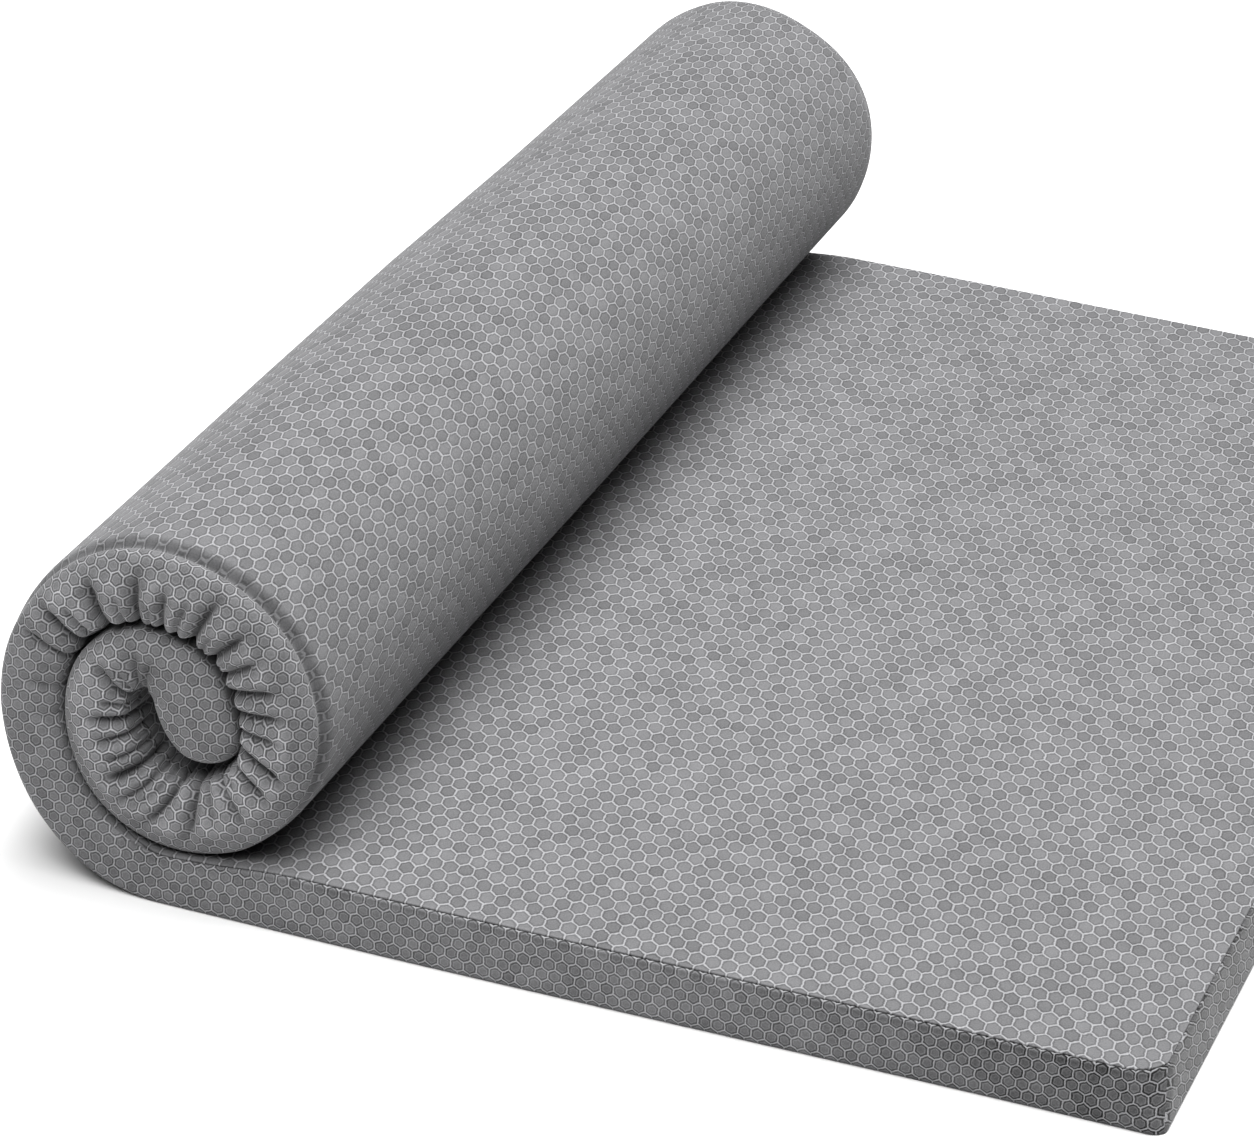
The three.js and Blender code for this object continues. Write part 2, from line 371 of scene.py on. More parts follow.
print("deepest rounding of the outer face, mm:", SIDES["outer"].max())

# %% [markdown]
# A section starts in the middle of the outer face, goes round the side and ends
# in the middle of the inner face. Its points stand close together at the side
# and spread out towards the middle, where the cloth is plain. Only the near
# half is worked out, since the far half can be a mirrored copy.

# %% Points round a section
SIDE_POINTS = 43
FACE_SHARES = np.array(
    [0.0015, 0.004, 0.008, 0.013, 0.019, 0.026, 0.036, 0.052, 0.08, 0.13, 0.22, 0.36, 0.6, 1]
)
ALMOST_NOTHING = 1e-9

face_points = len(FACE_SHARES)
side_angles = np.linspace(0, 180, SIDE_POINTS)
angles = np.concatenate([np.zeros(face_points), side_angles, np.full(face_points, 180)])
past_share = np.concatenate([FACE_SHARES[::-1], np.zeros(SIDE_POINTS), FACE_SHARES])
sine = np.clip(np.sin(np.radians(angles)), 0, 1)
cosine = np.cos(np.radians(angles))
cosine = np.where(abs(cosine) < ALMOST_NOTHING, 0, cosine)
on_outer = angles < 90

power = 2 / by_turn("square")
depth = np.where(on_outer, by_turn("outer"), by_turn("inner"))
rounding = depth * (1 - sine**power)
past = past_share * (WIDTH / 2 - depth)
inset = rounding + past
height = -(thick[:, None] / 2) * np.sign(cosine) * abs(cosine) ** power
upwards = np.clip(height / full[:, None] + 0.5, 0, 1)
print("points in half a section:", len(angles))

# %% [markdown]
# A slab with straight upright sides would look like a box. On the real one the
# cover rounds the corners of both ends, and those of the foot end more at the
# top than at the floor. It draws the long sides in a little towards the foot
# end. The soft foam leans out at the bottom of the long sides and of the foot
# end, and it bulges sideways in the roll.

# %% Corners, bulge and lean
FOOT_CORNER_TOP = 34
FOOT_CORNER_BOTTOM = 14
HEAD_CORNER = 22
ROLL_BULGE = 5
FOOT_DRAWN_IN = 4
SIDE_FLARE = 3
SIDE_FLARE_TURNS = 40
FOOT_FLARE = 7
FOOT_FLARE_REACH = 50
LIFTS_OFF = 2


def rounded_off(radius, distance):
    """What a round corner takes off at a distance from the end: the radius minus
    the height of its circle there."""
    inside = np.clip(radius - distance, 0, radius)
    return radius - np.sqrt(radius**2 - inside**2)


def lifted(degrees):
    """0 where the strip lies flat, rising smoothly to 1 over this many degrees
    from the turn where it lifts off."""
    return ease((turn - LIFTS_OFF) / degrees)[:, None]


foot_corner = FOOT_CORNER_BOTTOM + (FOOT_CORNER_TOP - FOOT_CORNER_BOTTOM) * upwards
corner = rounded_off(foot_corner, from_foot[:, None])
corner = corner + rounded_off(HEAD_CORNER, from_head[:, None])
towards_foot = ease((middle_x - PRESSED_LENGTH) / (FLAT_LENGTH - PRESSED_LENGTH)) * (turn == 0)
drawn_in = -ROLL_BULGE + (ROLL_BULGE + FOOT_DRAWN_IN) * towards_foot[:, None]
side_lean = SIDE_FLARE * (1 - upwards) * (1 - lifted(SIDE_FLARE_TURNS))
end_lean = FOOT_FLARE * (0.5 - upwards) * (1 - ease(from_foot / FOOT_FLARE_REACH))[:, None]
near_side = np.stack(
    [
        middle_x[:, None] + inward_x[:, None] * height + end_lean,
        inset + (corner + drawn_in - side_lean) * (1 - past_share),
        middle_z[:, None] + inward_z[:, None] * height,
    ],
    axis=2,
)
print("the roll bulges past the foot end's side by, mm:", ROLL_BULGE + FOOT_DRAWN_IN)

# %% [markdown]
# ## Gathers
#
# On the inside of a bend the cover is longer than the way it has to go, so it
# folds. Each fold starts at the inner edge, leans a little and dies out on its
# way to the outer edge. A cloth simulation could make such folds, but not these
# ones, so a table lists them as they are seen on the near end: the turn, how
# many degrees the fold leans, its reach, its depth and its half width.

# %% Table of the gathers
GATHERS = np.array(
    [
        (78, 0, 16, 1.6, 2.2),
        (92, 0, 24, 2.2, 2),
        (101, 0, 16, 1.6, 2),
        (110, 1, 38, 4, 1.8),
        (121.5, 2, 36, 7, 2.1),
        (130, 1, 26, 3.8, 1.8),
        (140.5, 6, 38, 8, 2.6),
        (153, 2, 26, 3.6, 2),
        (161.5, 5, 40, 7.4, 2.6),
        (170, 2, 22, 2.8, 1.8),
        (177, 1, 36, 6, 2.1),
        (186, 3, 34, 4.2, 2),
        (196.5, 3, 44, 7.8, 2.5),
        (205, 1, 24, 3.2, 1.8),
        (213.5, 4, 40, 7.6, 2.6),
        (221, 1, 20, 2.6, 1.8),
        (228, 2, 38, 6.2, 2.3),
        (241, 6, 40, 6.6, 2.4),
        (256, 3, 38, 6, 2.1),
        (269, 2, 32, 4.6, 1.9),
        (283, 9, 38, 7, 2),
        (299, 3, 34, 5.6, 1.9),
        (309, 4, 16, 2.2, 1.7),
        (318, 1, 36, 4.4, 1.8),
        (328, 7, 34, 2.4, 2.2),
        (338, 13, 41, 6.4, 2.1),
        (353, 20, 39, 6.4, 2),
        (364, 16, 30, 2.6, 2),
        (375, 12, 38, 5.4, 2),
        (391.5, 5, 32, 9, 2.2),
        (405, 1, 24, 4.6, 1.7),
        (421, -2, 24, 5.2, 1.7),
        (437, -1, 26, 6, 1.7),
        (453, -1, 18, 3.6, 1.6),
        (467, 12, 32, 5.6, 2.4),
        (484, 4, 26, 3.4, 2),
        (498, 8, 32, 3.8, 2.2),
        (511, 8, 30, 3.2, 2.2),
    ],
    dtype=[(name, float) for name in ("turn", "lean", "reach", "depth", "half")],
)
print("gathers in the table:", len(GATHERS))

# %% [markdown]
# A fold is a narrow crease in a wider dip. It gets wider on its way out, and the
# cloth between two of them is puffed out, which is what separates a gather from
# a groove cut in wood. The three factors below make every fold of the table
# deeper, longer and wider at its outer end.

# %% Depth of the gathers
FOLD_DEPTH = 1.65
LONGER = 1.42
WIDER = 0.9
STRONG_PART = 0.55
EDGE_SHARE = 0.5
EDGE_REACH = 11
VALLEY_POWER = 1.4
DIP_SHARE = 0.34
DIP_WIDTH = 3
PUFF = 4.2
PUFF_START = 8
PUFF_REACH = 38
PUFF_END = 16
GATHER_FADE = 18
FADE_POWER = 1.5
CROWDED_FROM = 100
CROWDED_OVER = 30
CROWDED_TO = 485
CALM_OVER = 20
SMALLEST_RADIUS = 8

crowding_starts = ease((turn - CROWDED_FROM) / CROWDED_OVER)
crowding_ends = ease((turn - CROWDED_TO) / CALM_OVER)
crowded = (crowding_starts * (1 - crowding_ends))[:, None]
from_edge = thick[:, None] / 2 - height
behind = np.where(on_outer, 0, past)
middle_radius = np.hypot(middle_x, middle_z - ROLL_CENTRE_HEIGHT)[:, None]
layer_radius = np.maximum(middle_radius - height, SMALLEST_RADIUS)


def gather_field(shift):
    """How deep the cloth folds in at each grid point. Across a fold the depth is a
    sharp valley, e to the minus of a power of the distance over the half width,
    within a wider bell curve. Along it the depth rises from a share of itself at
    the inner edge, holds and runs out at the fold's reach, while the half width
    grows. Folds that overlap join as the cube root of the sum of their cubes.
    The puff between them is taken off, and all of it fades on the inner face."""
    cubes = np.zeros_like(height)
    for fold, moved in zip(GATHERS, shift):
        way = np.clip(from_edge / (LONGER * fold["reach"]), 0, 1)
        at_turn = fold["turn"] + moved + fold["lean"] * way
        half = fold["half"] * (1 + WIDER * way)
        across = abs(np.radians(turn[:, None] - at_turn)) * layer_radius / half
        sharp = (1 - DIP_SHARE) * np.exp(-(across**VALLEY_POWER))
        wide = DIP_SHARE * np.exp(-((across / DIP_WIDTH) ** 2))
        run = 1 - ease((way - STRONG_PART) / (1 - STRONG_PART))
        cubes += (FOLD_DEPTH * fold["depth"] * run * (sharp + wide)) ** 3
    start = EDGE_SHARE + (1 - EDGE_SHARE) * ease(from_edge / EDGE_REACH)
    puff_runs_out = 1 - ease((from_edge - PUFF_REACH) / PUFF_END)
    puff = PUFF * crowded * ease(from_edge / PUFF_START) * puff_runs_out
    return (np.cbrt(cubes) * start - puff) * np.exp(-((behind / GATHER_FADE) ** FADE_POWER))


print("deepest fold, mm:", round(FOLD_DEPTH * GATHERS["depth"].max(), 1))

# %% [markdown]
# Much smaller ripples run along the inner edge, too many and too irregular for a
# table. A few sine waves of unlike lengths, with drawn phases, never repeat
# within the length of the edge.

# %% Ripples between the gathers
RIPPLES = 0.25
RIPPLE_LENGTHS = (4.1, 5.3, 6.7, 8.4, 11.2)
RIPPLE_REACH = 15
RIPPLE_BEHIND = 8
RIPPLE_RADIUS = 30
SWAY = 1.2
SWAY_LENGTHS = (7, 13)
DRIFT_LENGTHS = (19, 37)
PHASES = (0, 6.28)


def ripple_field(seed):
    """Small ripples: sine waves along the inner edge, each one swaying a little on
    its way out and coming and going along the edge, times a fade with the
    distance from the edge."""
    draw = np.random.default_rng(seed)
    way = np.radians(turn)[:, None] * np.maximum(layer_radius - from_edge, RIPPLE_RADIUS)
    total = np.zeros_like(height)
    for length in RIPPLE_LENGTHS:
        sway = SWAY * np.sin(from_edge / draw.uniform(*SWAY_LENGTHS) + draw.uniform(*PHASES))
        drift = np.sin(way / draw.uniform(*DRIFT_LENGTHS) + draw.uniform(*PHASES))
        total += drift * np.sin(2 * np.pi * way / length + sway + draw.uniform(*PHASES))
    fade = np.exp(-((from_edge / RIPPLE_REACH) ** 2)) * np.exp(-behind / RIPPLE_BEHIND)
    return RIPPLES * crowded * fade * total


print("waves in the ripples:", len(RIPPLE_LENGTHS))

# %% [markdown]
# ## The near side and the far side
#
# The two ends of a roll are never quite alike. The crease is deeper on the near
# end, which is also a little fuller at its upper left. The far end has slipped
# out along the axis, and its outer layer is pressed in at two places and
# swollen at a third. So both halves share one base and get their own crease,
# folds, slip and swell.

# %% Crease
CREASE_OFFSET = -2.5
CREASE_HALF = 6.5
CREASE_FAR = 0.35


def crease_field(is_far, offset, half):
    """A soft valley along the outer rounding: its depth by turn, times a bell
    curve of this half width around a line that lies this offset past the start
    of the rounding."""
    from_line = (inset - by_turn("outer") - offset) / half
    size = by_turn("crease") * (CREASE_FAR if is_far else 1)
    return np.where(on_outer, size * np.exp(-(from_line**2)), 0)


print("deepest crease, mm:", crease_field(False, CREASE_OFFSET, CREASE_HALF).max().round(1))

# %% [markdown]
# The slip and the swellings belong to the foam, so they move the skin after the
# cloth's own folds. Each swelling is a bell curve of the turn, with its middle,
# its half width and its height. A negative height is a place pressed in.

# %% Slip and swell
SLIP = 15
SLIP_FROM = 60
SLIP_OVER = 60
FAR_FROM = 0.3
FAR_SWELLINGS = ((318, 36, -3), (135, 30, -3), (238, 30, 4))
NEAR_SWELLINGS = ((140, 35, 2),)


def swelling(rows):
    """The sum of the bell curves of a list of swellings, at each station."""
    return sum(size * np.exp(-(((turn - middle) / half) ** 2)) for middle, half, size in rows)


def far_share(y):
    """0 in the near part of the width, rising smoothly to 1 at the far side."""
    return ease((y / WIDTH - FAR_FROM) / (1 - FAR_FROM))


def settle(points, is_far):
    """Slip and swell of one half: points past the start of the roll move along
    the axis, and the outer face moves towards or away from the centre."""
    wound = ease((turn - SLIP_FROM) / SLIP_OVER)[:, None]
    outer_part = np.clip(cosine, 0, 1)
    if is_far:
        far = far_share(points[:, :, 1])
        slip, swell = SLIP * wound * far, swelling(FAR_SWELLINGS)[:, None] * far
    else:
        near = 1 - far_share(WIDTH - 2 * points[:, :, 1])
        slip, swell = 0, swelling(NEAR_SWELLINGS)[:, None] * near
    moved = points.copy()
    moved[:, :, 1] += slip
    moved[:, :, 0] -= inward_x[:, None] * swell * outer_part
    moved[:, :, 2] -= inward_z[:, None] * swell * outer_part
    return moved


print("the far end slips out by, mm:", SLIP)

# %% [markdown]
# ## The seam
#
# The top panel is sewn to the band round the sides, and the seam runs along the
# upper edge and round the foot end's corners. It could be a separate bead of
# cord, but the real one is only a valley with a low lip on each side. So for
# every grid point the distance from the seam line is measured over the
# surface, and the valley follows that distance.

# %% Seam
SEAM_ANGLE = 157
SEAM_SHARE = 0.985
SEAM_DEPTH = 1.2
SEAM_HALF = 0.8
SEAM_CORNER = 0.8
SEAM_FADE = 34
LIP_HEIGHT = 0.35
LIP_AWAY = 2.6
LIP_HALF = 1.3

seam_column = face_points + int(round(SEAM_ANGLE / 180 * (SIDE_POINTS - 1)))
seam_row = int(np.searchsorted(foot_share, SEAM_SHARE))


def summed_steps(points, axis):
    """Distance over the surface along one direction of the grid: the lengths of
    the steps between neighbours, added up from 0."""
    steps = np.cumsum(np.linalg.norm(np.diff(points, axis=axis), axis=2), axis=axis)
    start = np.zeros_like(np.take(steps, [0], axis=axis))
    return np.concatenate([start, steps], axis=axis)


def seam_distance(points):
    """Signed distance in millimetres from the seam, over the surface: along the
    section on the long sides, and along the strip at the foot end, with the
    smaller of both taken softly at the corner. It is positive on the top panel."""
    across = summed_steps(points, 1)
    across -= across[:, [seam_column]]
    down = summed_steps(points, 0)
    down -= down[[seam_row], :]
    return -SEAM_CORNER * np.logaddexp(-across / SEAM_CORNER, -down / SEAM_CORNER)


def seam_field(distance):
    """The seam's valley, and the low lips beside it: bell curves of the signed
    distance. They are gone where the strip winds into the roll."""
    valley = SEAM_DEPTH * np.exp(-((distance / SEAM_HALF) ** 2))
    lips = LIP_HEIGHT * np.exp(-(((abs(distance) - LIP_AWAY) / LIP_HALF) ** 2))
    return (valley - lips) * (1 - lifted(SEAM_FADE))


print("the seam runs along column", seam_column, "and row", seam_row, "of the grid")

# %% [markdown]
# ## The whole skin
#
# All the fields are depths, applied along the surface's own normals. A normal is
# the cross product of the two directions of the grid. The folds stay out of the
# underside, which is pressed to the floor, and out of the last thin sections at
# the two ends.

# %% One half of the skin
FOLD_SHIFT = 1.6
NEAR_SEED = 5
FAR_SEED = 11
LYING_TO = 12
CLOSING_FROM = 0.25
CLOSING_OVER = 0.5
# Painted shade along the crease: how strong it is, and where and how wide it lies.
CREASE_SHADE = 0.85
CREASE_SHADE_OFFSET = 2
CREASE_SHADE_HALF = 8

lying = (on_outer & (past_share > 0))[None, :] & (turn < LYING_TO)[:, None]
closing = ease((share - CLOSING_FROM) / CLOSING_OVER)[:, None]


def normals_of(points):
    """Unit normals of a grid: the cross product of the steps along its two
    directions, pointing out of the foam."""
    normal = np.cross(np.gradient(points, axis=1), np.gradient(points, axis=0))
    length = np.maximum(np.linalg.norm(normal, axis=2), ALMOST_NOTHING)
    return normal / length[:, :, None]


def half_skin(is_far):
    """One half of the skin: the base section, moved in along its normals by the
    gathers, ripples, crease and seam, then slipped and swollen. With it come the
    distance from the seam, and a measure of how deep a point lies in the folds,
    for which the crease is taken wider and a little further in. That measure
    moves nothing: it only sets painted shade and painted light on the cloth."""
    seed = FAR_SEED if is_far else NEAR_SEED
    draw = np.random.default_rng(seed)
    shift = draw.uniform(-FOLD_SHIFT, FOLD_SHIFT, len(GATHERS)) * is_far
    points = near_side.copy()
    normal = normals_of(points)
    distance = seam_distance(points)
    gathered = gather_field(shift) + ripple_field(seed)
    sunk = gathered + crease_field(is_far, CREASE_OFFSET, CREASE_HALF) + seam_field(distance)
    sunk = np.where(lying, 0, sunk) * closing
    points -= normal * sunk[:, :, None]
    if is_far:
        points[:, :, 1] = WIDTH - points[:, :, 1]
    # The crease taken wider and further in sets painted shade only; it moves nothing.
    crease_shade = crease_field(is_far, CREASE_SHADE_OFFSET, CREASE_SHADE_HALF)
    shaded = gathered * closing + CREASE_SHADE * crease_shade
    return settle(points, is_far), distance, shaded


near_points, near_distance, near_fold_shading = half_skin(False)
far_points, far_distance, far_fold_shading = half_skin(True)
print("deepest point in the folds of the near half, mm:", near_fold_shading.max().round(1))

# %% [markdown]
# The near half of every section is joined to the mirrored far half into a closed
# loop. In the roll the top panel's seam is tucked away inside, so the distance
# from it is shifted there until no colour of the seam shows.

# %% The closed skin
SEAM_TUCKED = 14


def loop(near, far):
    """Near half, then the far half backwards without its two middle points."""
    return np.concatenate([near, far[:, -2:0:-1]], axis=1)


skin = loop(near_points, far_points)
skin_distance = loop(near_distance, far_distance) - SEAM_TUCKED * lifted(SEAM_FADE)
skin_fold_shading = loop(near_fold_shading, far_fold_shading)
print("grid of the skin:", skin.shape[:2])

# %% [markdown]
# ## Pattern coordinates
#
# The cover's hexagons follow the cloth, panel by panel, so the mesh carries its
# own map. A map unit is one hexagon: the nearest neighbours of a cell are at
# distance 1. A lattice is given by two of its steps in millimetres. On the top
# panel the cells are stretched across the width. On the bottom panel, which is
# the outside of the roll, they are turned and stretched more. On the band
# along the sides they are regular, and on the band of the foot end they lean.

# %% Lattices of the panels
TOP_LATTICE = ((12.8, 0.0), (4.3, 15.6))
BOTTOM_LATTICE = ((9.0, -9.8), (9.0, 9.8))
BAND_PITCH = 10.4
BAND_LATTICE = ((BAND_PITCH, 0.0), (BAND_PITCH / 2, BAND_PITCH * np.sqrt(3) / 2))
FOOT_LATTICE = ((24.0, -10.0), (12.0, -14.0))


def lattice_map(first, second, lattice):
    """Map coordinates of a point in a lattice: it is a times the first step plus b
    times the second, and its map is a plus half of b, and b times half the root
    of 3."""
    (step_x, step_y), (lean_x, lean_y) = lattice
    area = step_x * lean_y - step_y * lean_x
    a = (first * lean_y - second * lean_x) / area
    b = (second * step_x - first * step_y) / area
    return np.stack([a + b / 2, b * np.sqrt(3) / 2], axis=-1)


print("hexagons across the top panel:", round(WIDTH / TOP_LATTICE[1][1]))

# %% [markdown]
# A map needs the way over the cloth. On the top panel that is the length of the
# middle line, on the bottom panel the length of the skin's own outermost line,
# and on the band the way round the section from the middle of the side. The foot
# end is flat enough to take its places straight from the skin.

# %% Maps of the panels
outer_line = skin[:, 0]
outer_steps = np.linalg.norm(np.diff(outer_line, axis=0), axis=1)
outer_way = np.concatenate([[0], np.cumsum(outer_steps)])
side_column = len(angles) // 2
side_way = summed_steps(near_side, 1)
side_way -= side_way[:, [side_column]]
side_way = loop(side_way, side_way)
in_grid = np.ones(skin.shape[:2])

top_map = lattice_map((FLAT_LENGTH - along)[:, None] * in_grid, skin[:, :, 1], TOP_LATTICE)
bottom_map = lattice_map(outer_way[:, None] * in_grid, skin[:, :, 1], BOTTOM_LATTICE)
band_x = middle_x[:, None] + inward_x[:, None] * side_way
band_z = middle_z[:, None] + inward_z[:, None] * side_way
band_map = lattice_map(band_x, band_z, BAND_LATTICE)
foot_map = lattice_map(skin[:, :, 1], skin[:, :, 2], FOOT_LATTICE)
print("way along the outside of the skin, mm:", outer_way[-1].round())

# %% [markdown]
# ## Mesh
#
# Every four neighbours of the grid make a face. The line that is left at each
# end of the strip is closed by a ladder of faces, with a triangle at both tips.

# %% Faces of the grid
rows, size = skin.shape[:2]
row_index, column_index = np.meshgrid(np.arange(rows - 1), np.arange(size), indexing="ij")
next_column = (column_index + 1) % size
corner_rows = np.stack([row_index, row_index + 1, row_index + 1, row_index], axis=2)
corner_columns = np.stack([column_index, column_index, next_column, next_column], axis=2)

steps = np.arange(1, size // 2 - 1)
ladder = (np.stack([steps, steps + 1, -steps - 1, -steps], axis=1) + side_column) % size
tips = np.array([(-1, 0, 1), (size // 2 - 1, size // 2, size // 2 + 1)])
tips = (tips + side_column) % size
ladder_rows = [np.zeros_like(ladder), np.full_like(ladder, rows - 1)]
corner_rows = np.concatenate([corner_rows.reshape(-1, 4), *ladder_rows])
corner_columns = np.concatenate([corner_columns.reshape(-1, 4), ladder, ladder[:, ::-1]])
print("faces with four corners:", len(corner_rows))

# %% [markdown]
# A face takes its map from the panel it lies on. The angle round the section
# tells top, side and bottom apart, the crease is the border of the bottom panel,
# and the first rows of the grid are the foot end.

# %% A panel for each face
half_angles = loop(angles[None], angles[None])[0]
from_rounding = inset - by_turn("outer")
crease_line = loop(from_rounding, from_rounding)
panel_rows = corner_rows.min(axis=1)
face_angle = half_angles[corner_columns].mean(axis=1)
beside_crease = crease_line[panel_rows, corner_columns[:, 0]] > CREASE_OFFSET
on_bottom = (face_angle < 90) & beside_crease
on_band = (face_angle < SEAM_ANGLE) & ~on_bottom
on_foot = panel_rows < seam_row
chosen = top_map[corner_rows, corner_columns]
for panel, panel_map in ((on_bottom, bottom_map), (on_band, band_map), (on_foot, foot_map)):
    chosen = np.where(panel[:, None, None], panel_map[corner_rows, corner_columns], chosen)
print("faces on the band and the foot end:", on_band.sum(), on_foot.sum())

# %% [markdown]
# Faces have to point outwards, and the volume inside them tells: it is negative
# when they are inside out, and then every face is turned round.

# %% Faces point outwards


def signed_volume(points, faces):
    """Volume inside closed faces: a sixth of the sum, over the triangles of each
    face, of the triple product of its corners."""
    a, b, c, d = (points[faces[:, k]] for k in range(4))
    return (a * np.cross(b, c) + a * np.cross(c, d)).sum() / 6


vertices = to_frame(skin.reshape(-1, 3))
faces = corner_rows * size + corner_columns
outwards = 1 if signed_volume(vertices, faces) > 0 else -1
faces, chosen = faces[:, ::outwards], chosen[:, ::outwards]
end_tips = np.concatenate([tips, tips[:, ::-1] + (rows - 1) * size])[:, ::outwards]
print("faces:", len(faces), "litres:", round(signed_volume(vertices, faces) * 1000, 1))

# %% [markdown]
# Besides its map, the mesh carries three numbers at each point for the cloth:
# the distance from the seam, the depth in the folds that sets their painted
# shade and light, and whether the point is on the side or the foot end, where
# the knit looks a little different and painted shade darkens it towards the
# foot end.

# %% The cover's mesh
mesh = bpy.data.meshes.new("cover")
mesh.from_pydata(vertices, [], faces.tolist() + end_tips.tolist())
mesh.polygons.foreach_set("use_smooth", np.ones(len(mesh.polygons), dtype=bool))
corner_map = np.concatenate([chosen.reshape(-1, 2), np.zeros((end_tips.size, 2))])
hexagon_layer = mesh.uv_layers.new(name="hexagons")
hexagon_layer.uv.foreach_set("vector", corner_map.astype(np.float32).ravel())
on_long_side = (half_angles > 0) & (half_angles < SEAM_ANGLE)
on_side = on_long_side | (np.arange(rows) < seam_row)[:, None]
for name, values in (("seam", skin_distance), ("sunk", skin_fold_shading), ("side", on_side)):
    attribute = mesh.attributes.new(name, "FLOAT", "POINT")
    attribute.data.foreach_set("value", values.astype(np.float32).ravel())
cover = bpy.data.objects.new("padded_cover", mesh)
bpy.context.scene.collection.objects.link(cover)
print("cover box, metres:", vertices.min(axis=0).round(4), vertices.max(axis=0).round(4))

# %% [markdown]
# ## The knitted cover
#
# The cloth is a matt grey knit with a lattice of hexagons in it. A material is
# a tree of nodes, and it reads better when every node is one short call. These
# helpers add a node and hand back the output that the next one needs.

# %% Helpers for nodes


def node(tree, kind, inputs=None, **settings):
    """A new node with its settings and its inputs. An input is a value or the
    output of another node."""
    made = tree.nodes.new(kind)
    for name, value in settings.items():
        setattr(made, name, value)
    for key, value in (inputs or {}).items():
        if isinstance(value, bpy.types.NodeSocket):
            tree.links.new(value, made.inputs[key])
        else:
            made.inputs[key].default_value = value
    return made


def maths(tree, operation, *values):
    """The result of one Math node."""
    made = node(tree, "ShaderNodeMath", dict(enumerate(values)), operation=operation)
    return made.outputs[0]


def vectors(tree, operation, *values):
    """The result of one Vector Math node, a number for a dot product or length."""
    made = node(tree, "ShaderNodeVectorMath", dict(enumerate(values)), operation=operation)
    return made.outputs["Value" if operation in ("DOT_PRODUCT", "LENGTH") else "Vector"]


def between(tree, value, low, high, to_low=0.0, to_high=1.0):
    """A smooth step: to_low at low and below, to_high at high and above."""
    limits = {"From Min": low, "From Max": high, "To Min": to_low, "To Max": to_high}
    inputs = {"Value": value, **limits}
    made = node(tree, "ShaderNodeMapRange", inputs, interpolation_type="SMOOTHSTEP")
    return made.outputs["Result"]


def band(tree, value, centre, half, soft):
    """1 within half of the centre, 0 beyond that and the soft width, and smooth
    in between."""
    away = maths(tree, "ABSOLUTE", maths(tree, "SUBTRACT", value, centre))
    return between(tree, away, half, half + soft, to_low=1.0, to_high=0.0)


def weighted(tree, start, *parts):
    """A start value plus each part times its weight."""
    total = start
    for value, weight in parts:
        total = maths(tree, "MULTIPLY_ADD", value, weight, total)
    return total


helpers = (node, maths, vectors, between, band, weighted)
print("helpers:", ", ".join(helper.__name__ for helper in helpers))

# %% [markdown]
# Fine raised ribs draw the hexagons. A picture of them would blur from close by
# and repeat from afar, so the distance to the nearest rib is worked out with a
# few vector nodes. The centres of the cells form two rectangular lattices that
# lie half a cell apart. The point is wrapped into both, and the shorter of the
# two vectors is the way from the centre of its own cell.

# %% Hexagon cells
ROOT_3 = 3**0.5
HALF_CELL = (0.5, ROOT_3 / 2, 0.5)
BACK_HALF = (-0.5, -ROOT_3 / 2, -0.5)
SECOND_LATTICE = (0.5, ROOT_3 / 2, 0)
SLANTED_WALL = (0.5, ROOT_3 / 2, 0)
UPRIGHT_WALL = (1, 0, 0)


def wrapped(tree, place):
    """A place wrapped into a rectangle 1 wide and the root of 3 high, centred."""
    return vectors(tree, "WRAP", place, HALF_CELL, BACK_HALF)


def hexagon_cells(tree, place):
    """Distance from the nearest rib, in cell widths, and the centre of the cell.
    The distance is a half minus the larger of the ways towards the two kinds of
    wall, which are dot products with the walls' directions."""
    first = wrapped(tree, place)
    second = wrapped(tree, vectors(tree, "SUBTRACT", place, SECOND_LATTICE))
    lengths = vectors(tree, "LENGTH", first), vectors(tree, "LENGTH", second)
    take_first = maths(tree, "LESS_THAN", *lengths)
    take_second = maths(tree, "SUBTRACT", 1.0, take_first)
    first_part = vectors(tree, "MULTIPLY", first, take_first)
    second_part = vectors(tree, "MULTIPLY", second, take_second)
    way = vectors(tree, "ADD", first_part, second_part)
    absolute = vectors(tree, "ABSOLUTE", way)
    slanted = vectors(tree, "DOT_PRODUCT", absolute, SLANTED_WALL)
    upright = vectors(tree, "DOT_PRODUCT", absolute, UPRIGHT_WALL)
    reach = maths(tree, "MAXIMUM", slanted, upright)
    return maths(tree, "SUBTRACT", 0.5, reach), vectors(tree, "SUBTRACT", place, way)


print("a cell's height is", round(2 / ROOT_3, 3), "times its width")

# %% [markdown]
# ## Colour and relief of the knit
#
# From the rib inwards a cell shows the light rib, a dark rim, then the plain
# cloth, and on the side a faint ring around its middle. Every one of these is a
# band of the distance from the rib. Knitting is never quite even, so a small
# noise moves the lattice before the distance is measured.

# %% Ribs, rims and rings
WOBBLE_SCALE = 260.0
WOBBLE = (0.16, 0.16, 0)
RIB_HALF = 0.045
RIB_SOFT = 0.025


def noise(tree, place, scale, detail):
    """The outputs of a noise: one number as Fac, three unlike ones as Color."""
    inputs = {"Vector": place, "Scale": scale, "Detail": detail}
    return node(tree, "ShaderNodeTexNoise", inputs).outputs


def carried(tree, name):
    """A number that the mesh carries at each point."""
    return node(tree, "ShaderNodeAttribute", attribute_name=name).outputs["Fac"]


